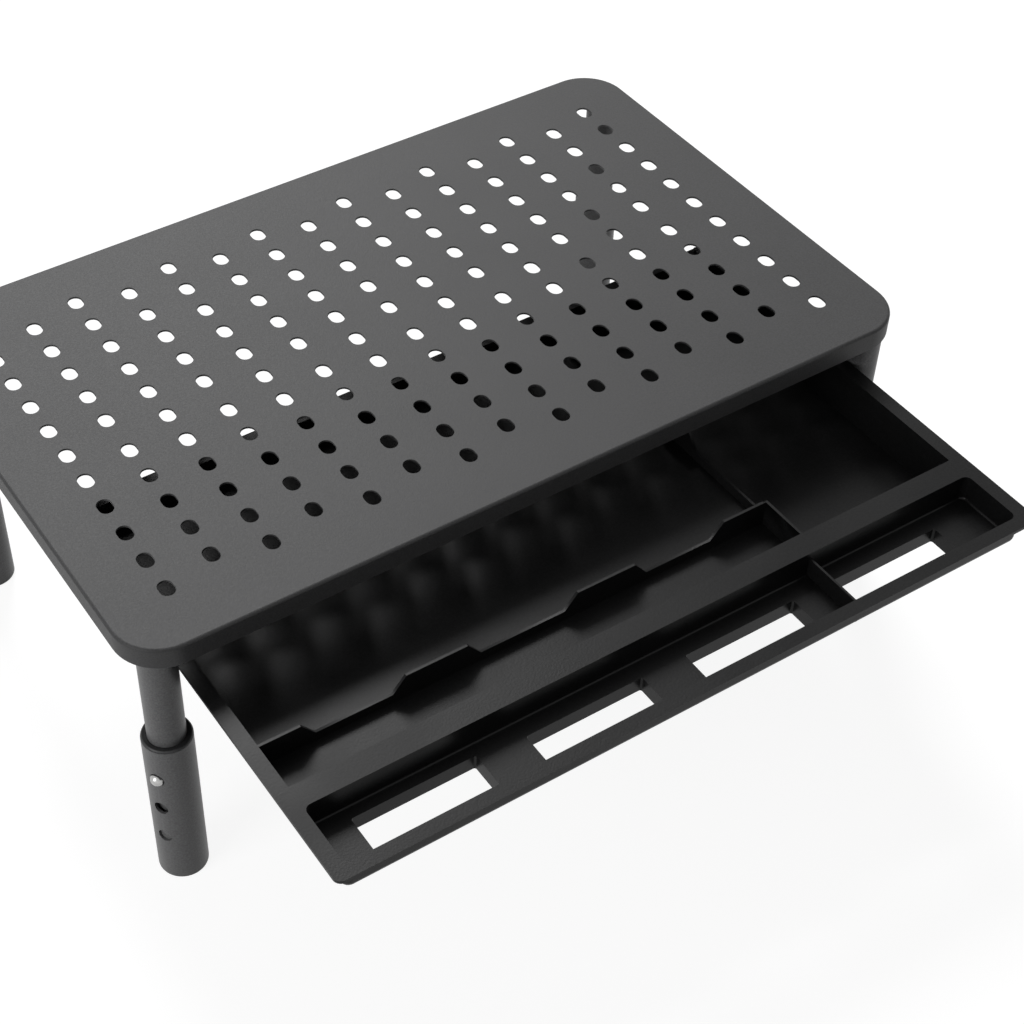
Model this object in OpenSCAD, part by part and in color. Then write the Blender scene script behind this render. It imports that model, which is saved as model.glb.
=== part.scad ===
// Perforated laptop stand with a pull-out organiser drawer and step-adjustable legs.
// Millimetres. The floor is at z = 0, +Z is up, -Y is the front and -X is the left.
// The middle of the plate is over x = 0, y = 0. The drawer is drawn pulled out to its stop.

/* [Plate] */
// Length of the plate, left to right
plate_length = 380; // [376:2:388]
// Depth of the plate, front to rear
plate_depth = 235; // [233:2:241]
// Height of the plate's top face above the floor
deck_height = 142.6; // [140.6:1:146.6]
// Radius of the plate's four corners, seen from above
plate_corner_radius = 21; // [17:1:21]
// Height of the turned-down edge
skirt_height = 10; // [8:0.5:11]
// Thickness of the sheet
plate_sheet = 1; // [0.8:0.1:1.2]
// Outside radius of the bend along the edge
bend_radius = 1.4; // [1.2:0.1:1.5]

/* [Perforation] */
// Width of the oval holes in the plate, left to right
hole_width = 6.4; // [5.6:0.2:7.6]
// Length of the oval holes, front to rear
hole_length = 8.5; // [8:0.1:9.5]
// Distance between neighbouring columns of one kind
column_pitch = 46.2; // [44:0.2:47]
// Distance between neighbouring holes in a column
row_pitch = 17.6; // [16:0.2:18]
// Number of long columns, which have a hole on the middle line
long_columns = 8; // [6:2:8]
// Number of holes each side of the middle hole in a long column
long_rows_each_side = 5; // [3:1:5]
// Number of holes each side of the middle line in a short column
short_rows_each_side = 5; // [3:1:5]

/* [Legs] */
// Outside diameter of the upper tube
tube_diameter = 16; // [15.6:0.1:16.2]
// Wall of the upper tube
tube_wall = 1.2; // [1:0.1:1.4]
// Outside diameter of the sliding sleeve
sleeve_diameter = 21.3; // [21.1:0.1:21.6]
// Wall of the sliding sleeve
sleeve_wall = 1.2; // [1:0.1:1.3]
// Length of the sliding sleeve
sleeve_length = 82; // [80:1:84]
// Diameter of the lock holes in tube and sleeve
lock_hole_diameter = 6.4; // [6.2:0.1:6.8]
// Height of the uppermost lock hole above the floor
lock_height = 65; // [64:1:66]
// Distance between two lock holes, which is one step of height
height_step = 18.5; // [17.5:0.5:19]
// Angle of the lock holes towards the nearer end of the plate's depth
lock_angle = 31; // [20:1:45]

/* [Drawer] */
// Travel of the drawer from its front stop to closed
drawer_travel = 108; // [96:2:108]
// Outside length of the drawer, front to rear
drawer_length = 221; // [219:1:222]
// Depth of the main bin and the pen tray below the rim
bin_depth = 12.4; // [12:0.1:13.4]
// Depth of the right-hand bin below the rim
side_bin_depth = 22.4; // [20:0.4:24]
// Depth of the front trough below the rim
trough_depth = 12.3; // [11.9:0.1:12.7]
// Wall of the drawer's sides
drawer_wall = 1.8; // [1.6:0.1:2]
// Width of a window in the trough's floor
window_width = 55; // [50:1:58]
// Depth of a dip in the top of the dividers
dip_depth = 7.5; // [5:0.5:9]

/* [Hidden] */
$fn = 64;
cut = 1;

// tones of the finishes
powder_black = [0.13, 0.13, 0.135];
moulded_black = [0.10, 0.10, 0.102];
bush_black = [0.07, 0.07, 0.072];
plated = [0.80, 0.80, 0.80];
pad_black = [0.05, 0.05, 0.05];

// perforation
half = 0.5;
short_columns = long_columns - 1;
first_short_row_share = 0.614;

// where the legs stand
leg_from_side = 13.5;
leg_from_front = 12.1;
leg_from_rear = 25.2;
leg_x = plate_length / 2 - leg_from_side;
front_y = -plate_depth / 2 + leg_from_front;
rear_y = plate_depth / 2 - leg_from_rear;
left_front = [-1, front_y, -1];
right_front = [1, front_y, -1];
left_rear = [-1, rear_y, 1];
right_rear = [1, rear_y, 1];

// tube and what is fixed to it
tube_r = tube_diameter / 2;
tube_bore_r = tube_r - tube_wall;
tube_top_z = deck_height - plate_sheet;
tube_end_z = lock_height - 24;
weld_leg = 2.4;
running_gap = 0.05;
ring_height = 5;
ring_above_end = 12;

// sleeve and what is fixed in it
sleeve_r = sleeve_diameter / 2;
sleeve_bore_r = sleeve_r - sleeve_wall;
sleeve_bottom_z = 0.8;
sleeve_top_z = sleeve_bottom_z + sleeve_length;
bush_flange = 1;
bush_flange_r = sleeve_r - 0.25;
bush_bottom_z = lock_height + 5;
insert_above_hole = 6;
insert_skirt_wall = 1.25;
insert_floor = 5;
insert_top_z = lock_height - 2 * height_step + insert_above_hole;
pad_height = 2.3;
pad_r = 7.6;

// lock button and its spring
lock_r = lock_hole_diameter / 2;
hole_count = 3;
button_r = 2.9;
button_proud = 2.2;
button_dome = 1.9;
strip = 0.8;
strip_width = 6;
strip_out = 5.6;
strip_back = 6;
strip_below = 5;
strip_straight = 6;
strip_bend_z = lock_height + 20;
strip_bend_r = 1.6;

// rails
rail_sheet = 0.9;
rail_web_x = leg_x - 7;
rail_edge_x = leg_x - 10.1;
rail_from_leg = 3;
rim_drop = 24.2;
rim_z = deck_height - rim_drop;
rim = 1.6;
lip_gap_below = 0.3;
lip_gap_above = 0.4;
rail_bottom_z = rim_z - rim - lip_gap_below - rail_sheet;
rail_top_z = rim_z + lip_gap_above + rail_sheet;
ear_edge_x = leg_x - 17;
ear_length = 4;

// drawer, with distances measured from its front edge
drawer_setback = 0.3;
drawer_front_y = -plate_depth / 2 + drawer_setback - drawer_travel;
drawer_rear_y = drawer_front_y + drawer_length;
drawer_half = leg_x - 8.3;
wall_out_x = leg_x - 13.2;
wall_in_x = wall_out_x - drawer_wall;
rim_corner = 3.5;
pocket_corner = 3;
mouth_radius = 0.4;
rim_radius = 0.6;
floor_sheet = 1.5;
bin_fillet = 0.4;
trough_fillet = 1;
body_corner = 4;
body_step = 0.3;
bin_under_fillet = 3;
trough_under_fillet = 3.5;
front_band = 6.1;
trough_width = 29.3;
cross_band = 10.8;
cross_wall = 1.5;
trough_wall = 2;
tray_width = 22;
divider = 1.2;
rear_band = 6;
trough_front_y = drawer_front_y + front_band;
trough_rear_y = trough_front_y + trough_width;
bins_front_y = trough_rear_y + cross_band;
divider_front_y = bins_front_y + tray_width;
bins_rear_y = drawer_rear_y - rear_band;
bin_floor_z = rim_z - bin_depth;
side_floor_z = rim_z - side_bin_depth;
trough_floor_z = rim_z - trough_depth;

// long divider across and the one that runs to the rear
side_divider_x = 79.8;
side_bin_x = side_divider_x + divider;
ramp = 6.5;
cross_low = [[-137.2, -102.9], [-62.2, -22.1], [18.5, 51.5]];
side_low_from_front = [[7, 46.5], [85, 124.5]];

// windows in the trough
window_pitch = 76.17;
window_shift = -3.45;
window_count = 4;
window_corner = 1;
window_front_y = trough_front_y + 5.1;
window_rear_y = trough_rear_y - 8.4;
first_window_rear_y = trough_rear_y - 5.7;
collar = 1.3;
collar_drop = 5.8;
trough_divider_x = 76;
trough_divider = 1;
trough_divider_below_rim = 3;

// stops of the drawer
stop_rib_x = wall_out_x + 4;
stop_rib_height = 1.4;
stop_rib_length = 6;
stop_rib_gap = 0.3;
pin_r = 1.2;
pin_head_r = 1.8;
pin_head = 1;
pin_proud = 1.5;
pin_x = leg_x - 16;
pin_from_rear = 2.1;
pin_y = drawer_rear_y - pin_from_rear;
pin_gap = 0.3;

// A flat rounded rectangle between two x and two y
module rounded(x0, x1, y0, y1, r) {
    square_at(x0 + r, x1 - r, y0, y1);
    square_at(x0, x1, y0 + r, y1 - r);
    for (x = [x0 + r, x1 - r], y = [y0 + r, y1 - r])
        translate([x, y]) circle(r);
}

module square_at(x0, x1, y0, y1) {
    translate([x0, y0]) square([x1 - x0, y1 - y0]);
}

// Half section of a pan's edge: upright side, rounded foot, and a mouth that flares by m
module pan_edge(r, f, height, m) {
    translate([0, f]) square([r, height - f]);
    intersection() {
        union() {
            square([r - f, f]);
            translate([r - f, f]) circle(f);
        }
        square([r, f]);
    }
    if (m > 0) translate([r, height - cut - m]) difference() {
        square([m, m + cut]);
        translate([m, 0]) circle(m);
    }
}

// A solid pan with rounded corners and a rounded lower edge. As a cutter it ends one cut
// above a surface, and its mouth m rounds that surface's edge.
module pan(x0, x1, y0, y1, z0, z1, r, f, m = 0) {
    height = z1 - z0;
    translate([0, 0, z0]) {
        linear_extrude(height) {
            square_at(x0 + r, x1 - r, y0 + r, y1 - r);
        }
        for (c = [[x1, y1, 0, -1, -1], [x0, y1, 90, 1, -1], [x0, y0, 180, 1, 1], [x1, y0, 270, -1, 1]])
            translate([c[0] + c[3] * r, c[1] + c[4] * r, 0])
                rotate([0, 0, c[2]]) rotate_extrude(angle = 90) pan_edge(r, f, height, m);
        for (s = [[x1 - r, y0 + r, 0, y1 - y0 - 2 * r], [x0 + r, y0 + r, 1, y1 - y0 - 2 * r]])
            translate([s[0], s[1] + (s[2] == 0 ? 0 : s[3]), 0])
                rotate([0, 0, s[2] * 180]) rotate([90, 0, 0]) mirror([0, 0, 1])
                    linear_extrude(s[3]) pan_edge(r, f, height, m);
        for (s = [[y1 - r, 90, x1 - r], [y0 + r, 270, x0 + r]])
            translate([s[2], s[0], 0])
                rotate([0, 0, s[1]]) rotate([90, 0, 0]) mirror([0, 0, 1])
                    linear_extrude(x1 - x0 - 2 * r) pan_edge(r, f, height, m);
    }
}

// Carries children to a leg, with +X turned to the side that its lock holes face
module at_leg(leg) {
    translate([leg[0] * leg_x, leg[1], 0])
        rotate([0, 0, atan2(leg[2] * sin(lock_angle), leg[0] * cos(lock_angle))])
            children();
}

// Half section of the plate's turned-down edge, out from a corner's centre
module skirt_section(r) {
    difference() {
        union() {
            square([r, skirt_height - bend_radius]);
            square([r - bend_radius, skirt_height]);
            translate([r - bend_radius, skirt_height - bend_radius]) circle(bend_radius);
        }
        translate([-cut, -cut]) {
            square([r - plate_sheet + cut, skirt_height - bend_radius + cut]);
            square([r - bend_radius + cut, skirt_height - plate_sheet + cut]);
        }
        translate([r - bend_radius, skirt_height - bend_radius]) circle(bend_radius - plate_sheet);
    }
}

// Formed sheet plate with its perforation
module top_plate() {
    r = plate_corner_radius;
    x = plate_length / 2 - r;
    y = plate_depth / 2 - r;
    color(powder_black)
    difference() {
        translate([0, 0, deck_height - skirt_height]) {
            translate([0, 0, skirt_height - plate_sheet])
                linear_extrude(plate_sheet) square_at(-x, x, -y, y);
            for (c = [[x, y, 0], [-x, y, 90], [-x, -y, 180], [x, -y, 270]])
                translate([c[0], c[1], 0]) rotate([0, 0, c[2]])
                    rotate_extrude(angle = 90) skirt_section(r);
            for (s = [[x, -y, 0, 2 * y], [-x, y, 180, 2 * y], [x, y, 90, 2 * x], [-x, -y, 270, 2 * x]])
                translate([s[0], s[1], 0]) rotate([0, 0, s[2]])
                    rotate([90, 0, 0]) mirror([0, 0, 1]) linear_extrude(s[3]) skirt_section(r);
        }
        translate([0, 0, deck_height - plate_sheet - cut])
            linear_extrude(plate_sheet + 2 * cut) perforation();
    }
}

// All holes of the plate, staggered column by column
module perforation() {
    for (c = [0 : long_columns - 1], k = [-long_rows_each_side : long_rows_each_side])
        translate([(c - (long_columns - 1) / 2) * column_pitch, k * row_pitch]) oval_hole();
    for (c = [0 : short_columns - 1], k = [0 : short_rows_each_side - 1], s = [-1, 1])
        translate([(c - (short_columns - 1) / 2) * column_pitch,
                   s * (first_short_row_share + k) * row_pitch])
            oval_hole();
}

// One hole: straight sides with round ends
module oval_hole() {
    r = hole_width / 2;
    y = hole_length / 2 - r;
    square_at(-r, r, -y, y);
    for (s = [-1, 1]) translate([0, s * y]) circle(r);
}

// Upper tube of a leg, with the hole that its lock button stands in
module leg_tube(leg) {
    color(powder_black)
    at_leg(leg) difference() {
        translate([0, 0, tube_end_z]) cylinder(r = tube_r, h = tube_top_z - tube_end_z);
        translate([0, 0, tube_end_z - cut])
            cylinder(r = tube_bore_r, h = tube_top_z - tube_end_z + 2 * cut);
        translate([0, 0, lock_height]) rotate([0, 90, 0])
            cylinder(r = lock_r, h = tube_r + cut);
    }
}

// Fillet welds round the tops of the four tubes, left off where a tube is against the bend
module weld_beads() {
    x = plate_length / 2 - bend_radius;
    y = plate_depth / 2 - bend_radius;
    color(powder_black)
    intersection() {
        for (leg = [left_front, right_front, left_rear, right_rear])
            at_leg(leg) rotate_extrude()
                polygon([[tube_r, tube_top_z - weld_leg], [tube_r + weld_leg, tube_top_z],
                         [tube_r, tube_top_z]]);
        translate([0, 0, tube_top_z - weld_leg - cut]) linear_extrude(weld_leg + 2 * cut)
            rounded(-x, x, -y, y, plate_corner_radius - bend_radius);
    }
}

// Moulded rings on the lower ends of the tubes, which run in the sleeves
module glide_rings() {
    color(bush_black)
    for (leg = [left_front, right_front, left_rear, right_rear])
        at_leg(leg) translate([0, 0, tube_end_z + ring_above_end]) difference() {
            cylinder(r = sleeve_bore_r - running_gap, h = ring_height);
            translate([0, 0, -cut]) cylinder(r = tube_r, h = ring_height + 2 * cut);
        }
}

// Outer sleeve of a leg, with a row of lock holes
module sleeve(leg) {
    color(powder_black)
    at_leg(leg) difference() {
        translate([0, 0, sleeve_bottom_z]) cylinder(r = sleeve_r, h = sleeve_length);
        translate([0, 0, sleeve_bottom_z - cut]) cylinder(r = sleeve_bore_r, h = sleeve_length + 2 * cut);
        for (k = [0 : hole_count - 1])
            translate([0, 0, lock_height - k * height_step]) rotate([0, 90, 0])
                cylinder(r = lock_r, h = sleeve_r + cut);
    }
}

// Flanged bush in the mouth of a sleeve, which guides the tube
module guide_bush(leg) {
    color(bush_black)
    at_leg(leg) rotate_extrude()
        polygon([[tube_r + running_gap, bush_bottom_z], [sleeve_bore_r, bush_bottom_z],
                 [sleeve_bore_r, sleeve_top_z], [bush_flange_r, sleeve_top_z],
                 [bush_flange_r, sleeve_top_z + bush_flange / 2],
                 [bush_flange_r - bush_flange / 2, sleeve_top_z + bush_flange],
                 [tube_r + running_gap, sleeve_top_z + bush_flange]]);
}

// Moulded foot plug with a thin skirt that closes the lowest lock hole from inside
module foot_insert(leg) {
    color(bush_black)
    at_leg(leg) difference() {
        translate([0, 0, sleeve_bottom_z]) cylinder(r = sleeve_bore_r, h = insert_top_z - sleeve_bottom_z);
        translate([0, 0, sleeve_bottom_z + insert_floor])
            cylinder(r = sleeve_bore_r - insert_skirt_wall, h = insert_top_z);
        translate([0, 0, -cut]) cylinder(r = pad_r, h = pad_height + cut);
    }
}

// Soft pad pressed into the underside of a foot plug
module foot_pad(leg) {
    color(pad_black)
    at_leg(leg) cylinder(r = pad_r, h = pad_height);
}

// Sprung clip inside a tube: one bent strip with a domed button drawn from it
module lock_clip(leg) {
    color(plated)
    at_leg(leg) {
        translate([0, strip_width / 2, 0]) rotate([90, 0, 0]) linear_extrude(strip_width)
            strip_profile();
        button();
    }
}

// Side view of the strip spring: bend on top, straight front leg, slanting rear leg
module strip_profile() {
    foot_z = lock_height - strip_below;
    straight_z = lock_height + strip_straight;
    polygon([[strip_bend_r, strip_bend_z], [strip_out, straight_z], [strip_out, foot_z],
             [strip_out - strip, foot_z], [strip_out - strip, straight_z - strip / 2],
             [strip_bend_r - strip, strip_bend_z]]);
    polygon([[-strip_bend_r, strip_bend_z], [-strip_back, foot_z],
             [strip - strip_back, foot_z], [strip - strip_bend_r, strip_bend_z]]);
    difference() {
        translate([0, strip_bend_z]) circle(strip_bend_r);
        translate([0, strip_bend_z]) circle(strip_bend_r - strip);
        square_at(-strip_out, strip_out, foot_z, strip_bend_z - strip / 8);
    }
}

// Hollow button on the strip's outer face, domed where it stands out of the sleeve
module button() {
    head_x = sleeve_r + button_proud;
    dome_r = (button_r * button_r + button_dome * button_dome) / (2 * button_dome);
    translate([0, 0, lock_height]) rotate([0, 90, 0]) difference() {
        union() {
            translate([0, 0, strip_out - strip / 2])
                cylinder(r = button_r, h = head_x - button_dome - strip_out + strip / 2);
            intersection() {
                translate([0, 0, head_x - dome_r]) sphere(dome_r);
                translate([0, 0, head_x - button_dome]) cylinder(r = button_r, h = button_dome + cut);
            }
        }
        translate([0, 0, strip_out]) cylinder(r = button_r - strip, h = head_x - button_dome - strip_out);
    }
}

// Folded channel rail along one side, open towards the drawer
module rail(side) {
    y0 = front_y + rail_from_leg;
    y1 = rear_y - rail_from_leg;
    color(powder_black)
    difference() {
        union() {
            mirror([side < 0 ? 1 : 0, 0, 0]) {
                translate([0, y1, 0]) rotate([90, 0, 0]) linear_extrude(y1 - y0) rail_section();
                translate([ear_edge_x, pin_y - pin_r - pin_gap - ear_length, rail_top_z - rail_sheet])
                    cube([rail_edge_x + rail_sheet - ear_edge_x, ear_length, rail_sheet]);
            }
        }
        for (y = [front_y, rear_y])
            translate([side * leg_x, y, rail_bottom_z - cut])
                cylinder(r = tube_r, h = rail_top_z - rail_bottom_z + 2 * cut);
    }
}

// Section of the right-hand rail, seen from the front
module rail_section() {
    difference() {
        union() {
            square_at(rail_edge_x, rail_web_x - rail_sheet, rail_bottom_z, rail_top_z);
            square_at(rail_edge_x, rail_web_x, rail_bottom_z + rail_sheet, rail_top_z - rail_sheet);
            for (z = [rail_bottom_z + rail_sheet, rail_top_z - rail_sheet])
                translate([rail_web_x - rail_sheet, z]) circle(rail_sheet);
        }
        square_at(rail_edge_x - cut, rail_web_x - rail_sheet,
                  rail_bottom_z + rail_sheet, rail_top_z - rail_sheet);
    }
}

// Moulded drawer tray: rim, three bins, shallow front trough with windows, dividers
module drawer_tray() {
    color(moulded_black)
    difference() {
        union() {
            difference() {
                union() {
                    drawer_shell();
                    for (side = [-1, 1]) closing_rib(side);
                }
                pan(-wall_in_x, wall_in_x, trough_front_y, trough_rear_y, trough_floor_z, rim_z + cut,
                    pocket_corner, trough_fillet, mouth_radius);
            }
            trough_partition();
        }
        pocket(-wall_in_x, side_divider_x, bins_front_y, divider_front_y, bin_floor_z);
        pocket(-wall_in_x, side_divider_x, divider_front_y + divider, bins_rear_y, bin_floor_z);
        pocket(side_bin_x, wall_in_x, bins_front_y, bins_rear_y, side_floor_z);
        cross_dips();
        side_dips();
        windows();
        for (side = [-1, 1])
            translate([side * pin_x, pin_y, rim_z - rim - cut]) cylinder(r = pin_r, h = rim + 2 * cut);
    }
}

// Rim plate and the bodies below it, with a hollow under the band behind the trough
module drawer_shell() {
    translate([0, 0, rim_z]) mirror([0, 0, 1])
        pan(-drawer_half, drawer_half, drawer_front_y, drawer_rear_y, 0, rim, rim_corner, rim_radius);
    pan(-wall_out_x, wall_out_x, bins_front_y - cross_wall, bins_rear_y + drawer_wall,
        bin_floor_z - floor_sheet, rim_z - rim, body_corner, bin_under_fillet);
    pan(side_bin_x - drawer_wall, wall_out_x - body_step, bins_front_y - cross_wall + body_step,
        bins_rear_y + drawer_wall - body_step, side_floor_z - floor_sheet, rim_z - rim,
        body_corner, bin_under_fillet);
    pan(-wall_out_x, wall_out_x, trough_front_y - trough_wall, trough_rear_y + cross_wall,
        trough_floor_z - floor_sheet, rim_z - rim, body_corner, trough_under_fillet);
    for (k = [0 : window_count - 1]) {
        x = window_left(k);
        translate([0, 0, trough_floor_z - floor_sheet - collar_drop])
            linear_extrude(collar_drop + floor_sheet)
                rounded(x - collar, x + window_width + collar, window_front_y - collar,
                        window_rear(k) + collar, window_corner + collar);
    }
}

// Section of a bin from a to b: rounded along the floor and at the mouth
module bin_section(a, b, depth) {
    square_at(a, b, bin_fillet, depth + cut);
    square_at(a + bin_fillet, b - bin_fillet, 0, bin_fillet);
    for (c = [a + bin_fillet, b - bin_fillet]) intersection() {
        translate([c, bin_fillet]) circle(bin_fillet);
        square_at(a, b, 0, bin_fillet);
    }
    difference() {
        square_at(a - mouth_radius, b + mouth_radius, depth - mouth_radius, depth + cut);
        for (c = [a - mouth_radius, b + mouth_radius])
            translate([c, depth - mouth_radius]) circle(mouth_radius);
    }
}

// Cutter for a bin with square corners, which are seen from above
module pocket(x0, x1, y0, y1, floor_z) {
    depth = rim_z - floor_z;
    intersection() {
        translate([0, y1 + cut, floor_z]) rotate([90, 0, 0])
            linear_extrude(y1 - y0 + 2 * cut) bin_section(x0, x1, depth);
        translate([x0 - cut, 0, floor_z]) rotate([90, 0, 90])
            linear_extrude(x1 - x0 + 2 * cut) bin_section(y0, y1, depth);
    }
}

function window_left(k) =
    window_shift + (k - (window_count - 1) / 2) * window_pitch - window_width / 2;
function window_rear(k) = k == 0 ? first_window_rear_y : window_rear_y;

// Openings through the trough's floor
module windows() {
    for (k = [0 : window_count - 1])
        translate([0, 0, trough_floor_z - floor_sheet - collar_drop - cut])
            linear_extrude(collar_drop + floor_sheet + 2 * cut)
                rounded(window_left(k), window_left(k) + window_width,
                        window_front_y, window_rear(k), window_corner);
}

// Outline of the dips to cut from a divider's top, each with a ramp at both ends
module dip_section(low_runs) {
    grow = ramp * cut / dip_depth;
    for (run = low_runs)
        polygon([[run[0], -dip_depth], [run[1], -dip_depth],
                 [run[1] + ramp + grow, cut], [run[0] - ramp - grow, cut]]);
}

// Dips in the divider between the pen tray and the main bin
module cross_dips() {
    translate([0, divider_front_y + divider + cut, rim_z]) rotate([90, 0, 0])
        linear_extrude(divider + 2 * cut) dip_section(cross_low);
}

// Dips in the divider that runs from the pen tray to the rear
module side_dips() {
    translate([side_divider_x - cut, divider_front_y, rim_z]) rotate([90, 0, 90])
        linear_extrude(divider + 2 * cut) dip_section(side_low_from_front);
}

// Low wall across the front trough
module trough_partition() {
    translate([trough_divider_x, trough_front_y - trough_wall / 2, trough_floor_z - floor_sheet / 2])
        cube([trough_divider, trough_width + trough_wall / 2 + cross_wall / 2,
              trough_depth - trough_divider_below_rim + floor_sheet / 2]);
}

// Rib under the rim that meets the front end of a rail when the drawer is closed
module closing_rib(side) {
    rib_y = front_y + rail_from_leg - drawer_travel - stop_rib_gap - stop_rib_length;
    mirror([side < 0 ? 1 : 0, 0, 0])
        translate([wall_out_x - drawer_wall / 2, rib_y, rim_z - rim - stop_rib_height])
            cube([stop_rib_x - wall_out_x + drawer_wall / 2, stop_rib_length, stop_rib_height + rim / 2]);
}

// Push pins through the rear of the rim, which meet the ears of the rails
module stop_pins() {
    color(bush_black)
    for (side = [-1, 1])
        translate([side * pin_x, pin_y, rim_z - rim - pin_head]) {
            cylinder(r = pin_head_r, h = pin_head);
            cylinder(r = pin_r, h = pin_head + rim + pin_proud);
        }
}

top_plate();
leg_tube(left_front);  // left_front_tube
leg_tube(right_front);  // right_front_tube
leg_tube(left_rear);  // left_rear_tube
leg_tube(right_rear);  // right_rear_tube
weld_beads();
glide_rings();
rail(-1);  // left_rail
rail(1);  // right_rail
drawer_tray();
stop_pins();
sleeve(left_front);  // left_front_sleeve
guide_bush(left_front);  // left_front_guide_bush
foot_insert(left_front);  // left_front_foot_insert
foot_pad(left_front);  // left_front_foot_pad
lock_clip(left_front);  // left_front_lock_clip
sleeve(right_front);  // right_front_sleeve
guide_bush(right_front);  // right_front_guide_bush
foot_insert(right_front);  // right_front_foot_insert
foot_pad(right_front);  // right_front_foot_pad
lock_clip(right_front);  // right_front_lock_clip
sleeve(left_rear);  // left_rear_sleeve
guide_bush(left_rear);  // left_rear_guide_bush
foot_insert(left_rear);  // left_rear_foot_insert
foot_pad(left_rear);  // left_rear_foot_pad
lock_clip(left_rear);  // left_rear_lock_clip
sleeve(right_rear);  // right_rear_sleeve
guide_bush(right_rear);  // right_rear_guide_bush
foot_insert(right_rear);  // right_rear_foot_insert
foot_pad(right_rear);  // right_rear_foot_pad
lock_clip(right_rear);  // right_rear_lock_clip
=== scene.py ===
# A perforated laptop stand on sliding tube legs, with its organiser drawer pulled out.
# Metres. The floor is at z = 0, +Z is up, -Y is the front and -X is the left.
import math

import bmesh
import bpy
from mathutils import Matrix, Vector


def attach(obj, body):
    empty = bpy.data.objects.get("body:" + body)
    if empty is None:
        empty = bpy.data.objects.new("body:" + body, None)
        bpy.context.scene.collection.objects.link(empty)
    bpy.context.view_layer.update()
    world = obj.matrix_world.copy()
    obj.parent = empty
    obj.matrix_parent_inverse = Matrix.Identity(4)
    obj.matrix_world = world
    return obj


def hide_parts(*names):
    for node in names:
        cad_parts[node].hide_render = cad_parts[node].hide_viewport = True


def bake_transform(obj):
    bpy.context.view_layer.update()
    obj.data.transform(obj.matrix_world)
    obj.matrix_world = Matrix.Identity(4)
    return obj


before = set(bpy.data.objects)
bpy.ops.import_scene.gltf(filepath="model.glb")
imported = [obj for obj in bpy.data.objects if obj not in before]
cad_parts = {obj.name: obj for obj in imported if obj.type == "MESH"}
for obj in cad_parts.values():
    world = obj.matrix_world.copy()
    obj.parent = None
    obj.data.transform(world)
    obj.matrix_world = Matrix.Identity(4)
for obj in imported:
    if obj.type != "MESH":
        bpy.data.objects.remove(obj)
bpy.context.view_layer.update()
scene = bpy.context.scene

# ------------------------------------------------------------------ camera
# The photograph's view: from the front left, about 45 degrees above the desk.
lens_data = bpy.data.cameras.new("camera")
camera = bpy.data.objects.new("camera", lens_data)
scene.collection.objects.link(camera)
right = Vector((0.84500, -0.53476, -0.00322)).normalized()
forward = Vector((0.3771, 0.6001, -0.7054)).normalized()
down = Vector((-0.37924, -0.59498, -0.70865)).normalized()
camera.matrix_world = Matrix((
    (right.x, -down.x, -forward.x, -0.3655),
    (right.y, -down.y, -forward.y, -0.5897),
    (right.z, -down.z, -forward.z, 0.7106),
    (0, 0, 0, 1)))
lens_data.sensor_fit = "HORIZONTAL"
lens_data.sensor_width = 36
lens_data.lens = 36 * 2034.4 / 1024
lens_data.shift_x = (512 - 412.7) / 1024
lens_data.shift_y = (518.1 - 512) / 1024
lens_data.clip_start = 0.05
lens_data.clip_end = 20
scene.camera = camera
scene.view_settings.view_transform = "Standard"

# ------------------------------------------------------------------ studio
# A plain pale floor under a white surround, lit by a broad softbox high behind the stand, a
# little to its right, and a small one low at the left. The floor keeps the soft shadow.


def seen_directly(nodes, links):
    """1 where the eye, a mirror or a clear surface looks, 0 where only light is gathered."""
    path = nodes.new("ShaderNodeLightPath")
    mirror_or_eye = nodes.new("ShaderNodeMath")
    mirror_or_eye.operation = "MAXIMUM"
    links.new(path.outputs["Is Camera Ray"], mirror_or_eye.inputs[0])
    links.new(path.outputs["Is Glossy Ray"], mirror_or_eye.inputs[1])
    either = nodes.new("ShaderNodeMath")
    either.operation = "MAXIMUM"
    links.new(mirror_or_eye.outputs[0], either.inputs[0])
    links.new(path.outputs["Is Transmission Ray"], either.inputs[1])
    return either.outputs[0]


bm = bmesh.new()
bmesh.ops.create_grid(bm, x_segments=1, y_segments=1, size=6)
floor_mesh = bpy.data.meshes.new("floor")
bm.to_mesh(floor_mesh)
bm.free()
floor = bpy.data.objects.new("floor", floor_mesh)
scene.collection.objects.link(floor)
floor_paint = bpy.data.materials.new("pale floor")
floor_paint.use_nodes = True
nodes, links = floor_paint.node_tree.nodes, floor_paint.node_tree.links
nodes.clear()
matt = nodes.new("ShaderNodeBsdfDiffuse")
matt.inputs["Color"].default_value = (0.25, 0.25, 0.25, 1)
lift = nodes.new("ShaderNodeEmission")
own_light = 0.9  # with what the lamps add, the floor comes out just under white
level = nodes.new("ShaderNodeMath")
level.operation = "MULTIPLY"
level.inputs[1].default_value = own_light
links.new(seen_directly(nodes, links), level.inputs[0])
links.new(level.outputs[0], lift.inputs["Strength"])
both = nodes.new("ShaderNodeAddShader")
links.new(matt.outputs[0], both.inputs[0])
links.new(lift.outputs[0], both.inputs[1])
surface = nodes.new("ShaderNodeOutputMaterial")
links.new(both.outputs[0], surface.inputs["Surface"])
floor_mesh.materials.append(floor_paint)

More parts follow.
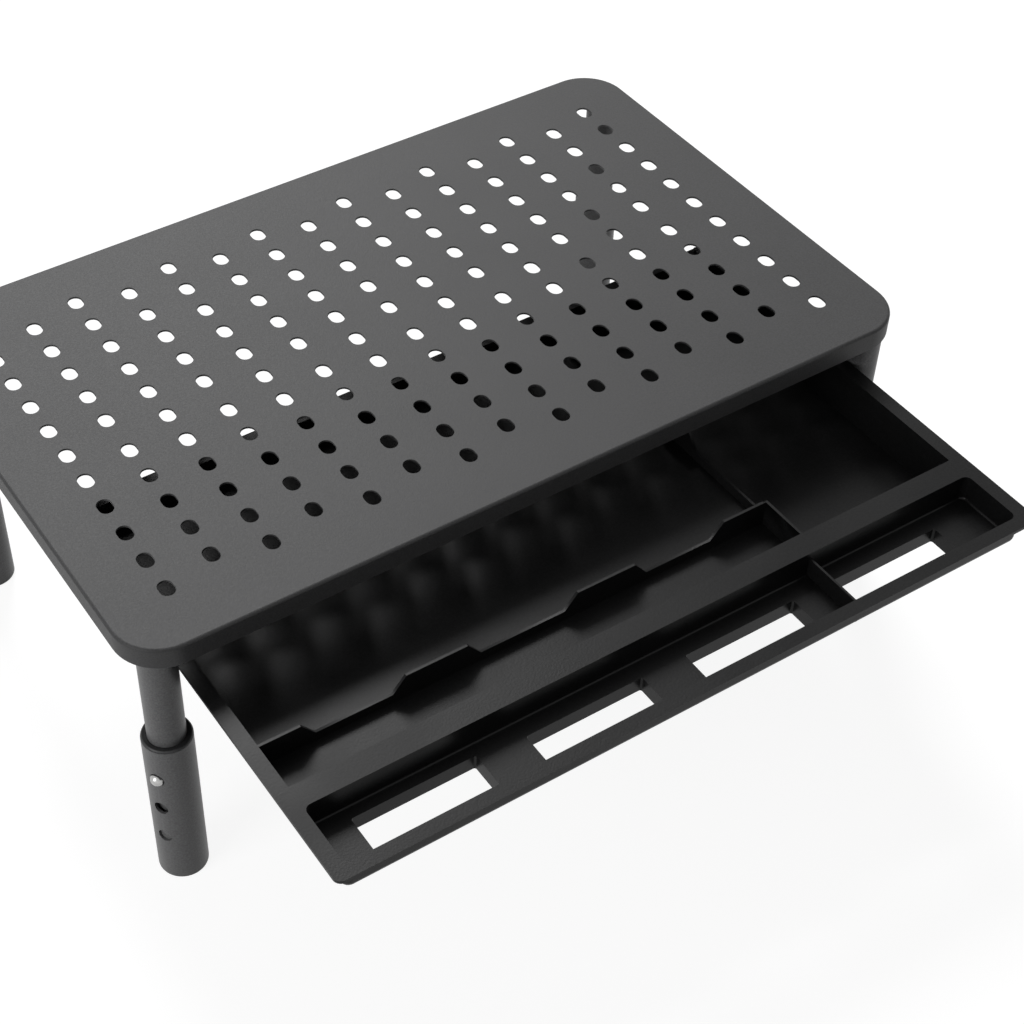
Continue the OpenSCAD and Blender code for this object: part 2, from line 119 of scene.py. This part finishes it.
surround = bpy.data.worlds.new("surround")
scene.world = surround
surround.use_nodes = True
nodes, links = surround.node_tree.nodes, surround.node_tree.links
nodes.clear()
dim = nodes.new("ShaderNodeBackground")
dim.inputs["Color"].default_value = (1, 1, 1, 1)
dim.inputs["Strength"].default_value = 0.08
white = nodes.new("ShaderNodeBackground")
white.inputs["Color"].default_value = (1, 1, 1, 1)
white.inputs["Strength"].default_value = 1
pick = nodes.new("ShaderNodeMixShader")
links.new(seen_directly(nodes, links), pick.inputs[0])
links.new(dim.outputs[0], pick.inputs[1])
links.new(white.outputs[0], pick.inputs[2])
sky = nodes.new("ShaderNodeOutputWorld")
links.new(pick.outputs[0], sky.inputs["Surface"])


def softbox(name, place, aim, size, power):
    lamp = bpy.data.lights.new(name, "AREA")
    lamp.shape = "SQUARE"
    lamp.size = size
    lamp.energy = power
    holder = bpy.data.objects.new(name, lamp)
    scene.collection.objects.link(holder)
    holder.location = place
    holder.rotation_euler = (Vector(aim) - Vector(place)).to_track_quat("-Z", "Y").to_euler()


softbox("rear_softbox", (0.95, 3.37, 3.69), (-0.02, 0.0, 0.12), 2.0, 190)
softbox("left_softbox", (-1.25, -0.3, 0.5), (0, -0.02, 0.08), 0.7, 6.6)

# ------------------------------------------------------------------ plate
# One formed steel sheet with a turned-down edge, punched with staggered columns of oval
# holes and powder-coated. It is pressed, punched and coated before the legs go on.
MM = 0.001
plate_length, plate_depth, deck_height = 380 * MM, 235 * MM, 142.6 * MM
plate_corner, plate_sheet, bend, skirt = 21 * MM, 1 * MM, 1.4 * MM, 10 * MM
hole_width, hole_length, hole_edge = 6.4 * MM, 8.5 * MM, 0.2 * MM
column_pitch, row_pitch, first_short_row = 46.2 * MM, 17.6 * MM, 0.614
sharp_angle = 32  # degrees: an edge that turns more than this is shaded sharp


def coated_steel(name, colour, roughness, gloss):
    """Fine-textured powder coat: pale and dark specks, an orange-peel skin, uneven gloss."""
    coat = bpy.data.materials.new(name)
    coat.use_nodes = True
    nodes, links = coat.node_tree.nodes, coat.node_tree.links
    shader = nodes["Principled BSDF"]
    place = nodes.new("ShaderNodeTexCoord")
    specks = nodes.new("ShaderNodeTexNoise")
    specks.inputs["Scale"].default_value = 1250
    specks.inputs["Detail"].default_value = 2.5
    specks.inputs["Roughness"].default_value = 0.65
    clouds = nodes.new("ShaderNodeTexNoise")
    clouds.inputs["Scale"].default_value = 26
    clouds.inputs["Detail"].default_value = 3
    links.new(place.outputs["Object"], specks.inputs["Vector"])
    links.new(place.outputs["Object"], clouds.inputs["Vector"])
    blend = nodes.new("ShaderNodeMath")
    blend.operation = "MULTIPLY_ADD"
    links.new(clouds.outputs["Fac"], blend.inputs[0])
    blend.inputs[1].default_value = 0.18
    links.new(specks.outputs["Fac"], blend.inputs[2])
    tones = nodes.new("ShaderNodeValToRGB")
    tones.color_ramp.elements[0].position = 0.34
    tones.color_ramp.elements[0].color = (*(c * 0.62 for c in colour), 1)
    tones.color_ramp.elements[1].position = 0.86
    tones.color_ramp.elements[1].color = (*(c * 1.42 for c in colour), 1)
    links.new(blend.outputs[0], tones.inputs["Fac"])
    links.new(tones.outputs["Color"], shader.inputs["Base Color"])
    rough = nodes.new("ShaderNodeMapRange")
    rough.inputs["From Min"].default_value = 0.3
    rough.inputs["From Max"].default_value = 0.7
    rough.inputs["To Min"].default_value = roughness - 0.06
    rough.inputs["To Max"].default_value = roughness + 0.06
    links.new(specks.outputs["Fac"], rough.inputs["Value"])
    links.new(rough.outputs["Result"], shader.inputs["Roughness"])
    peel = nodes.new("ShaderNodeBump")
    peel.inputs["Strength"].default_value = 0.35
    peel.inputs["Distance"].default_value = 0.00012
    links.new(specks.outputs["Fac"], peel.inputs["Height"])
    links.new(peel.outputs["Normal"], shader.inputs["Normal"])
    shader.inputs["Specular IOR Level"].default_value = gloss
    return coat


def rounded_loop(bm, half_x, half_y, radius, z, steps=14):
    """A loop of points round a rectangle with rounded corners."""
    loop = []
    for quarter, (sx, sy) in enumerate(((1, 1), (-1, 1), (-1, -1), (1, -1))):
        for k in range(steps + 1):
            a = math.radians(90 * (quarter + k / steps))
            loop.append(bm.verts.new((sx * (half_x - radius) + radius * math.cos(a),
                                      sy * (half_y - radius) + radius * math.sin(a), z)))
    return loop


def skin(bm, loops, close=False):
    """Faces between each loop of points and the next."""
    pairs = list(zip(loops, loops[1:]))
    if close:
        pairs.append((loops[-1], loops[0]))
    for low, high in pairs:
        n = len(low)
        for k in range(n):
            bm.faces.new((low[k], low[(k + 1) % n], high[(k + 1) % n], high[k]))


def as_piece(bm, name, finish, angle=sharp_angle):
    """Closes a mesh into a shaded object with its finish."""
    bmesh.ops.recalc_face_normals(bm, faces=bm.faces)
    mesh = bpy.data.meshes.new(name)
    bm.to_mesh(mesh)
    bm.free()
    mesh.materials.append(finish)
    mesh.shade_smooth()
    mesh.set_sharp_from_angle(angle=math.radians(angle))
    piece = bpy.data.objects.new(name, mesh)
    scene.collection.objects.link(piece)
    return piece


def even_normals(piece):
    """Keeps flat faces flat where they run into a rounded edge."""
    weigh = piece.modifiers.new("even normals", "WEIGHTED_NORMAL")
    weigh.keep_sharp = True
    return piece


powder = coated_steel("black powder coat", (0.0515, 0.0515, 0.0525), 0.54, 0.255)

bm = bmesh.new()
wall = [(bend * (1 - math.sin(t)), deck_height - bend * (1 - math.cos(t)))
        for t in (math.radians(90 * k / 8) for k in range(9))]
foot = deck_height - skirt
soft = 0.2 * MM
wall += [(0, foot + soft), (soft * 0.3, foot + soft * 0.3), (soft, foot),
         (plate_sheet - soft, foot), (plate_sheet - soft * 0.3, foot + soft * 0.3),
         (plate_sheet, foot + soft)]
inner_bend = bend - plate_sheet
wall += [(bend - inner_bend * math.cos(t), deck_height - bend + inner_bend * math.sin(t))
         for t in (math.radians(90 * k / 4) for k in range(5))]
loops = [rounded_loop(bm, plate_length / 2 - d, plate_depth / 2 - d, plate_corner - d, z)
         for d, z in wall]
skin(bm, loops)
bm.faces.new(loops[0])
bm.faces.new(loops[-1])
blank = as_piece(bm, "plate_blank", powder)

# the punch leaves a slightly rounded edge on both faces of the sheet
bm = bmesh.new()
edge = [(hole_edge * (1 - math.sin(t)), hole_edge * (1 - math.cos(t)))
        for t in map(math.radians, (20, 45, 68, 90))]
past_face = 0.5 * MM
sides = [(edge[0][0], past_face)] + [(g, -d) for g, d in edge]
sides += [(g, d - plate_sheet) for g, d in reversed(edge)]
sides.append((edge[0][0], -plate_sheet - past_face))
loops = []
for grow, z in sides:
    r = hole_width / 2 + grow
    y = (hole_length - hole_width) / 2
    loop = []
    for s in (1, -1):
        for k in range(11):
            a = math.radians(90 * (1 - s) + 18 * k)
            loop.append(bm.verts.new((r * math.cos(a), s * y + r * math.sin(a), z)))
    loops.append(loop)
skin(bm, loops)
bm.faces.new(loops[0])
bm.faces.new(loops[-1])
punch = as_piece(bm, "oval_punch", powder)


def wire(tree, kind, values=(), **settings):
    """A node with its settings, and values or links given for its inputs."""
    node = tree.nodes.new(kind)
    for key, value in settings.items():
        setattr(node, key, value)
    for slot, value in values:
        if isinstance(value, bpy.types.NodeSocket):
            tree.links.new(value, node.inputs[slot])
        else:
            node.inputs[slot].default_value = value
    return node


def group_sockets(tree, wanted):
    """The tree's named inputs, and its one geometry output."""
    tree.interface.new_socket("Geometry", in_out="INPUT", socket_type="NodeSocketGeometry")
    for label, kind in wanted:
        tree.interface.new_socket(label, in_out="INPUT", socket_type=kind)
    tree.interface.new_socket("Geometry", in_out="OUTPUT", socket_type="NodeSocketGeometry")
    return tree.nodes.new("NodeGroupInput"), tree.nodes.new("NodeGroupOutput")


def baked(piece):
    """The piece's mesh as its modifiers leave it."""
    graph = bpy.context.evaluated_depsgraph_get()
    return bpy.data.meshes.new_from_object(
        piece.evaluated_get(graph), preserve_all_data_layers=True, depsgraph=graph)


def worked(piece, tree, values):
    """Runs a node tree on a piece and keeps the result as its plain mesh."""
    step = piece.modifiers.new(tree.name, "NODES")
    step.node_group = tree
    keys = {item.name: item.identifier for item in tree.interface.items_tree
            if item.in_out == "INPUT"}
    for label, value in values.items():
        step[keys[label]] = value
    made = baked(piece)
    piece.modifiers.remove(step)
    piece.data = made
    made.shade_smooth()
    made.set_sharp_from_angle(angle=math.radians(sharp_angle))
    return piece


perforate = bpy.data.node_groups.new("punched columns", "GeometryNodeTree")
start, end = group_sockets(perforate, (
    ("Punch", "NodeSocketObject"), ("Column pitch", "NodeSocketFloat"),
    ("Row pitch", "NodeSocketFloat"), ("Long columns", "NodeSocketInt"),
    ("Rows each side", "NodeSocketInt"), ("First short row", "NodeSocketFloat"),
    ("Finish", "NodeSocketMaterial")))


def sum_of(tree, operation, a, b):
    return wire(tree, "ShaderNodeMath", ((0, a), (1, b)), operation=operation).outputs[0]


columns, rows = start.outputs["Long columns"], start.outputs["Rows each side"]
pitch_x, pitch_y = start.outputs["Column pitch"], start.outputs["Row pitch"]
fewer = sum_of(perforate, "SUBTRACT", columns, 1)
two_sided = sum_of(perforate, "MULTIPLY", rows, 2)
long_grid = wire(perforate, "GeometryNodeMeshGrid", (
    ("Size X", sum_of(perforate, "MULTIPLY", fewer, pitch_x)),
    ("Size Y", sum_of(perforate, "MULTIPLY", two_sided, pitch_y)),
    ("Vertices X", columns), ("Vertices Y", sum_of(perforate, "ADD", two_sided, 1))))
rows_less = sum_of(perforate, "SUBTRACT", rows, 1)
short_grid = wire(perforate, "GeometryNodeMeshGrid", (
    ("Size X", sum_of(perforate, "MULTIPLY", sum_of(perforate, "SUBTRACT", fewer, 1), pitch_x)),
    ("Size Y", sum_of(perforate, "MULTIPLY", rows_less, pitch_y)),
    ("Vertices X", fewer), ("Vertices Y", rows)))
middle = sum_of(perforate, "MULTIPLY", pitch_y,
                sum_of(perforate, "ADD", start.outputs["First short row"],
                       sum_of(perforate, "DIVIDE", rows_less, 2)))
points = perforate.nodes.new("GeometryNodeJoinGeometry")
perforate.links.new(long_grid.outputs["Mesh"], points.inputs[0])
for side in (1, -1):
    offset = wire(perforate, "ShaderNodeCombineXYZ",
                  (("Y", sum_of(perforate, "MULTIPLY", middle, side)),))
    moved = wire(perforate, "GeometryNodeTransform", (
        ("Geometry", short_grid.outputs["Mesh"]), ("Translation", offset.outputs[0])))
    perforate.links.new(moved.outputs[0], points.inputs[0])
tool = wire(perforate, "GeometryNodeObjectInfo", (("Object", start.outputs["Punch"]),))
punches = wire(perforate, "GeometryNodeInstanceOnPoints", (
    ("Points", points.outputs[0]), ("Instance", tool.outputs["Geometry"])))
lifted = wire(perforate, "GeometryNodeTransform", (
    ("Geometry", punches.outputs[0]), ("Translation", (0, 0, deck_height))))
solid_punches = wire(perforate, "GeometryNodeRealizeInstances",
                     (("Geometry", lifted.outputs[0]),))
cut = wire(perforate, "GeometryNodeMeshBoolean", (
    ("Mesh 1", start.outputs["Geometry"]), ("Mesh 2", solid_punches.outputs[0])),
    operation="DIFFERENCE", solver="EXACT")
plain = wire(perforate, "GeometryNodeRealizeInstances", (("Geometry", cut.outputs["Mesh"]),))
finished = wire(perforate, "GeometryNodeSetMaterial", (
    ("Geometry", plain.outputs[0]), ("Material", start.outputs["Finish"])))
perforate.links.new(finished.outputs[0], end.inputs[0])

plate = worked(blank, perforate, {
    "Punch": punch, "Column pitch": column_pitch, "Row pitch": row_pitch, "Long columns": 8,
    "Rows each side": 5, "First short row": first_short_row, "Finish": powder})
bpy.data.objects.remove(punch)
plate.name = "perforated_plate"
even_normals(plate)
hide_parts("top_plate")
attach(plate, "stand")

# ------------------------------------------------------------------ upper leg tubes
# Four steel tubes under the plate, each with a round hole near its lower end for the
# locking button. They are cut to length, drilled, and coated smoother than the plate.
leg_x, front_y, rear_y = 176.5 * MM, -105.4 * MM, 92.3 * MM
lock_height, lock_step, lock_angle = 65 * MM, 18.5 * MM, 31
legs = {"left_front": (-1, -1), "right_front": (1, -1), "left_rear": (-1, 1), "right_rear": (1, 1)}
leg_coat = coated_steel("satin leg coat", (0.121, 0.121, 0.123), 0.42, 0.3)


def to_leg(leg):
    """Places a mesh made round the Z axis, lock hole towards +X, at its leg."""
    sx, sy = legs[leg]
    turn = math.atan2(sy * math.sin(math.radians(lock_angle)),
                      sx * math.cos(math.radians(lock_angle)))
    return (Matrix.Translation((sx * leg_x, front_y if sy < 0 else rear_y, 0))
            @ Matrix.Rotation(turn, 4, "Z"))


def eased(corners, ease):
    """A closed outline with each corner rounded off by a short three-point arc."""
    outline = []
    for k, here in enumerate(corners):
        here = Vector(here)
        back = Vector(corners[k - 1]) - here
        ahead = Vector(corners[(k + 1) % len(corners)]) - here
        reach = min(ease, back.length * 0.45, ahead.length * 0.45)
        first, last = here + back.normalized() * reach, here + ahead.normalized() * reach
        outline += [first, (first + last) * 0.25 + here * 0.5, last]
    return outline


def lathe(bm, outline, steps=72):
    """A closed outline of (radius, height) turned once round the Z axis."""
    loops = [[bm.verts.new((p[0] * math.cos(a), p[0] * math.sin(a), p[1]))
              for a in (2 * math.pi * k / steps for k in range(steps))] for p in outline]
    skin(bm, loops, close=True)


def round_drill(radius, start_x, end_x, wall_faces, ease):
    """A cutter along +X whose sides flare at the wall's faces, so that its edges are eased."""
    bm = bmesh.new()
    rings = [(start_x, 0)]
    for x, s in wall_faces:
        near = [(x - s * ease, 0), (x - s * ease * 0.3, ease * 0.3), (x, ease),
                (x + s * ease * 3, ease)]
        rings += near if s > 0 else near[::-1]
    rings.append((end_x, rings[-1][1]))
    rings.sort(key=lambda r: r[0])
    loops = [[bm.verts.new((x, (radius + g) * math.cos(a), (radius + g) * math.sin(a)))
              for a in (2 * math.pi * k / 32 for k in range(32))] for x, g in rings]
    skin(bm, loops)
    bm.faces.new(loops[0])
    bm.faces.new(loops[-1])
    return as_piece(bm, "round_drill", leg_coat)


drilled_row = bpy.data.node_groups.new("row of drilled holes", "GeometryNodeTree")
start, end = group_sockets(drilled_row, (
    ("Drill", "NodeSocketObject"), ("Count", "NodeSocketInt"), ("First hole", "NodeSocketVector"),
    ("Step", "NodeSocketVector"), ("Finish", "NodeSocketMaterial")))
row = wire(drilled_row, "GeometryNodeMeshLine", (
    ("Count", start.outputs["Count"]), ("Start Location", start.outputs["First hole"]),
    ("Offset", start.outputs["Step"])))
tool = wire(drilled_row, "GeometryNodeObjectInfo", (("Object", start.outputs["Drill"]),))
drills = wire(drilled_row, "GeometryNodeInstanceOnPoints", (
    ("Points", row.outputs[0]), ("Instance", tool.outputs["Geometry"])))
solid_drills = wire(drilled_row, "GeometryNodeRealizeInstances",
                    (("Geometry", drills.outputs[0]),))
cut = wire(drilled_row, "GeometryNodeMeshBoolean", (
    ("Mesh 1", start.outputs["Geometry"]), ("Mesh 2", solid_drills.outputs[0])),
    operation="DIFFERENCE", solver="EXACT")
plain = wire(drilled_row, "GeometryNodeRealizeInstances", (("Geometry", cut.outputs["Mesh"]),))
finished = wire(drilled_row, "GeometryNodeSetMaterial", (
    ("Geometry", plain.outputs[0]), ("Material", start.outputs["Finish"])))
drilled_row.links.new(finished.outputs[0], end.inputs[0])

tube_r, tube_bore, tube_end = 8 * MM, 6.8 * MM, 41 * MM
tube_top, tube_ease = deck_height - plate_sheet, 0.25 * MM
lock_hole_r = 3.2 * MM
for leg in legs:
    bm = bmesh.new()
    lathe(bm, eased([(tube_bore, tube_end), (tube_r, tube_end), (tube_r, tube_top),
                     (tube_bore, tube_top)], tube_ease))
    tube = as_piece(bm, leg + "_upper_tube", leg_coat)
    drill = round_drill(lock_hole_r, 2 * MM, 12 * MM, [(tube_r, 1)], tube_ease)
    worked(tube, drilled_row, {"Drill": drill, "Count": 1, "First hole": (0, 0, lock_height),
                               "Step": (0, 0, -lock_step), "Finish": leg_coat})
    bpy.data.objects.remove(drill)
    tube.data.transform(to_leg(leg))
    even_normals(tube)
    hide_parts(leg + "_tube")
    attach(tube, "stand")

# ------------------------------------------------------------------ welds
# A bead of weld runs round the top of each tube, against the underside of the plate. It is
# laid in overlapping ripples and coated with the plate.
ripples, stops_per_ripple, weld_size = 36, 4, 2.35 * MM
room = plate_corner - bend - 0.1 * MM  # the beads are kept inside the skirt's corners
bm = bmesh.new()
for leg in legs:
    place = to_leg(leg)
    loops = []
    for k in range(ripples * stops_per_ripple):
        a = 2 * math.pi * k / (ripples * stops_per_ripple)
        swell = 1 - 0.16 * abs(math.sin(a * ripples / 2))
        reach = weld_size * swell
        ring = []
        for r, z in ((tube_r, tube_top - reach), (tube_r + reach * 0.42, tube_top - reach * 0.86),
                     (tube_r + reach * 0.76, tube_top - reach * 0.55),
                     (tube_r + reach * 0.96, tube_top - reach * 0.2), (tube_r + reach, tube_top),
                     (tube_r, tube_top)):
            p = place @ Vector((r * math.cos(a), r * math.sin(a), z))
            past = Vector((max(abs(p.x) - plate_length / 2 + plate_corner, 0),
                           max(abs(p.y) - plate_depth / 2 + plate_corner, 0)))
            if past.length > room:
                past -= past * room / past.length
                p.x -= math.copysign(past.x, p.x)
                p.y -= math.copysign(past.y, p.y)
            ring.append(bm.verts.new(p))
        loops.append(ring)
    skin(bm, loops, close=True)
welds = as_piece(bm, "weld_ripples", powder, 60)
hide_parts("weld_beads")
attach(welds, "stand")

# ------------------------------------------------------------------ rails
# Two folded sheet channels between the front and rear tubes, welded to them. The drawer's
# rim slides in them, and a small ear on each meets the drawer's stop pin.


def eased_copy(node, name, finish, body, ease, levels=()):
    """A CAD piece as one skin, with its outer edges eased and some heights drawn level."""
    hard_edge = math.radians(35)
    bm = bmesh.new()
    bm.from_mesh(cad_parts[node].data)
    bmesh.ops.remove_doubles(bm, verts=bm.verts, dist=1e-6)
    for (x0, x1), (y0, y1), (low, high), level_z in levels:
        for v in bm.verts:
            if x0 < v.co.x < x1 and y0 < v.co.y < y1 and low < v.co.z < high:
                v.co.z = level_z
    bmesh.ops.dissolve_limit(bm, angle_limit=math.radians(0.6), verts=bm.verts, edges=bm.edges)
    for face in bm.faces:
        face.smooth = True
    outer_edges = bm.edges.layers.float.new("bevel_weight_edge")
    for edge in bm.edges:
        if edge.calc_face_angle(0) > hard_edge:
            edge.smooth = edge.is_convex
            edge[outer_edges] = float(edge.is_convex)
    mesh = bpy.data.meshes.new(name)
    bm.to_mesh(mesh)
    bm.free()
    mesh.attributes.remove(mesh.attributes["custom_normal"])
    mesh.materials.clear()
    mesh.materials.append(finish)
    piece = bpy.data.objects.new(name, mesh)
    scene.collection.objects.link(piece)
    round_off = piece.modifiers.new("eased edges", "BEVEL")
    round_off.width = ease
    round_off.segments = 2
    round_off.limit_method = "WEIGHT"
    round_off.use_clamp_overlap = True
    even_normals(piece)
    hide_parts(node)
    if body:
        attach(piece, body)
    return piece


for side in ("left", "right"):
    eased_copy(side + "_rail", side + "_channel_rail", powder, "stand", 0.15 * MM)

# ------------------------------------------------------------------ sliding sleeves
# Four outer tubes that slide on the leg tubes, each with a row of three lock holes on the
# side that faces the nearer corner. Drawn steel tube, drilled and coated like the tubes.
sleeve_r, sleeve_bore, sleeve_bottom, sleeve_top = 10.65 * MM, 9.45 * MM, 0.8 * MM, 82.8 * MM
for leg in legs:
    bm = bmesh.new()
    lathe(bm, eased([(sleeve_bore, sleeve_bottom), (sleeve_r, sleeve_bottom),
                     (sleeve_r, sleeve_top), (sleeve_bore, sleeve_top)], 0.3 * MM))
    outer = as_piece(bm, leg + "_sliding_sleeve", leg_coat)
    drill = round_drill(lock_hole_r, 5 * MM, 14 * MM, [(sleeve_r, 1)], 0.35 * MM)
    worked(outer, drilled_row, {"Drill": drill, "Count": 3, "First hole": (0, 0, lock_height),
                                "Step": (0, 0, -lock_step), "Finish": leg_coat})
    bpy.data.objects.remove(drill)
    outer.data.transform(to_leg(leg))
    even_normals(outer)
    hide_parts(leg + "_sleeve")
    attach(outer, leg + "_leg")

# ------------------------------------------------------------------ bushes, rings, foot plugs
# Moulded black parts: a flanged bush in each sleeve's mouth and a glide ring pressed on each
# tube's end inside. A grey plug sits in each sleeve's foot, and its skirt closes the lowest hole.
# The plug's grey is painted paler than the sleeve as painted light, so that in the shade behind
# that hole it shows as bright as the lit sleeve outside.


def moulded(name, colour, roughness, gloss, grain, depth):
    """Moulded plastic: even tone, a fine spark-eroded grain, gloss that varies a little."""
    plastic = bpy.data.materials.new(name)
    plastic.use_nodes = True
    nodes, links = plastic.node_tree.nodes, plastic.node_tree.links
    shader = nodes["Principled BSDF"]
    place = nodes.new("ShaderNodeTexCoord")
    fine = nodes.new("ShaderNodeTexNoise")
    fine.inputs["Scale"].default_value = grain
    fine.inputs["Detail"].default_value = 2
    broad = nodes.new("ShaderNodeTexNoise")
    broad.inputs["Scale"].default_value = 18
    broad.inputs["Detail"].default_value = 2
    links.new(place.outputs["Object"], fine.inputs["Vector"])
    links.new(place.outputs["Object"], broad.inputs["Vector"])
    tones = nodes.new("ShaderNodeValToRGB")
    tones.color_ramp.elements[0].position = 0.32
    tones.color_ramp.elements[0].color = (*(c * 0.7 for c in colour), 1)
    tones.color_ramp.elements[1].position = 0.7
    tones.color_ramp.elements[1].color = (*(c * 1.3 for c in colour), 1)
    links.new(fine.outputs["Fac"], tones.inputs["Fac"])
    links.new(tones.outputs["Color"], shader.inputs["Base Color"])
    rough = nodes.new("ShaderNodeMapRange")
    rough.inputs["From Min"].default_value = 0.35
    rough.inputs["From Max"].default_value = 0.65
    rough.inputs["To Min"].default_value = roughness - 0.04
    rough.inputs["To Max"].default_value = roughness + 0.05
    links.new(broad.outputs["Fac"], rough.inputs["Value"])
    links.new(rough.outputs["Result"], shader.inputs["Roughness"])
    skin_grain = nodes.new("ShaderNodeBump")
    skin_grain.inputs["Strength"].default_value = 0.25
    skin_grain.inputs["Distance"].default_value = depth
    links.new(fine.outputs["Fac"], skin_grain.inputs["Height"])
    links.new(skin_grain.outputs["Normal"], shader.inputs["Normal"])
    shader.inputs["Specular IOR Level"].default_value = gloss
    return plastic


bush_black = moulded("bush plastic", (0.022, 0.022, 0.023), 0.42, 0.4, 1500, 0.00005)
# painted light: the plug's grey is set paler than the sleeve so it looks lit in the shade behind
# the lowest hole
plug_grey_painted_lit = moulded("plug plastic painted lit", (0.15, 0.15, 0.151), 0.5, 0.25, 1500, 0.00005)
bush_bore, bush_foot, bush_flange, bush_slope = 8.05 * MM, 70 * MM, 10.4 * MM, 0.5 * MM
bush_top = sleeve_top + 1 * MM
for leg in legs:
    bm = bmesh.new()
    lathe(bm, eased([(bush_bore, bush_foot), (sleeve_bore, bush_foot), (sleeve_bore, sleeve_top),
                     (bush_flange, sleeve_top), (bush_flange, bush_top - bush_slope),
                     (bush_flange - bush_slope, bush_top), (bush_bore, bush_top)], 0.2 * MM))
    bush = as_piece(bm, leg + "_mouth_bush", bush_black)
    bush.data.transform(to_leg(leg))
    even_normals(bush)
    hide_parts(leg + "_guide_bush")
    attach(bush, leg + "_leg")
    eased_copy(leg + "_foot_insert", leg + "_foot_plug", plug_grey_painted_lit,
               leg + "_leg", 0.2 * MM)
eased_copy("glide_rings", "tube_end_rings", bush_black, "stand", 0.2 * MM)

# ------------------------------------------------------------------ foot pads
# A round rubber pad pressed into the underside of each foot plug, matt and slightly soft
# at its edge, so that the stand does not slide or mark the desk.
rubber = moulded("foot rubber", (0.03, 0.03, 0.03), 0.8, 0.25, 900, 0.00008)
for leg in legs:
    eased_copy(leg + "_foot_pad", leg + "_rubber_pad", rubber, leg + "_leg", 0.4 * MM)

# ------------------------------------------------------------------ locking clips
# A bent strip of sprung steel inside each tube, bright plated, with a domed button that
# stands out through tube and sleeve.
plating = bpy.data.materials.new("bright plating")
plating.use_nodes = True
nodes, links = plating.node_tree.nodes, plating.node_tree.links
shader = nodes["Principled BSDF"]
shader.inputs["Metallic"].default_value = 1
place = nodes.new("ShaderNodeTexCoord")
brushed = nodes.new("ShaderNodeTexNoise")
brushed.inputs["Scale"].default_value = 700
brushed.inputs["Detail"].default_value = 3
links.new(place.outputs["Object"], brushed.inputs["Vector"])
tint = nodes.new("ShaderNodeValToRGB")
tint.color_ramp.elements[0].color = (0.29, 0.288, 0.284, 1)
tint.color_ramp.elements[1].color = (0.53, 0.53, 0.522, 1)
links.new(brushed.outputs["Fac"], tint.inputs["Fac"])
links.new(tint.outputs["Color"], shader.inputs["Base Color"])
rough = nodes.new("ShaderNodeMapRange")
rough.inputs["To Min"].default_value = 0.2
rough.inputs["To Max"].default_value = 0.32
links.new(brushed.outputs["Fac"], rough.inputs["Value"])
links.new(rough.outputs["Result"], shader.inputs["Roughness"])
for leg in legs:
    clip = eased_copy(leg + "_lock_clip", leg + "_button_clip", plating,
                      None, 0.1 * MM)
    sprung = baked(clip)
    clip.modifiers.clear()
    clip.data = sprung
    place = to_leg(leg)
    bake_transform(clip)

# ------------------------------------------------------------------ drawer
# One injection-moulded tray: a flat rim that runs in the rails, a main bin, a pen tray, a
# deep bin at the right, dipped dividers, and a shallow front trough with four windows. The
# bins' floors are drawn square to their walls, and the rim's upper edge crisp.
tray_black = moulded("drawer plastic", (0.008, 0.008, 0.0082), 0.36, 0.134, 1100, 0.00014)
wide_x, deep_x = (-161.6 * MM, 79.9 * MM), (80.9 * MM, 161.6 * MM)
bin_y, anywhere = (-179.1 * MM, -10.1 * MM), (-1, 1)
wide_floor, deep_floor, rim_top = 106 * MM, 96 * MM, 118.4 * MM
floor_round, rim_round = 0.42 * MM, 0.62 * MM
eased_copy("drawer_tray", "organiser_drawer", tray_black, "drawer", 0.1 * MM,
           levels=((wide_x, bin_y, (wide_floor, wide_floor + floor_round), wide_floor),
                   (deep_x, bin_y, (deep_floor, deep_floor + floor_round), deep_floor),
                   (anywhere, anywhere, (rim_top - rim_round, rim_top), rim_top)))

# ------------------------------------------------------------------ stop pins
# Two small push pins through the rear of the rim, which keep the drawer from coming out.
eased_copy("stop_pins", "drawer_stop_pins", bush_black, "drawer", 0.15 * MM)
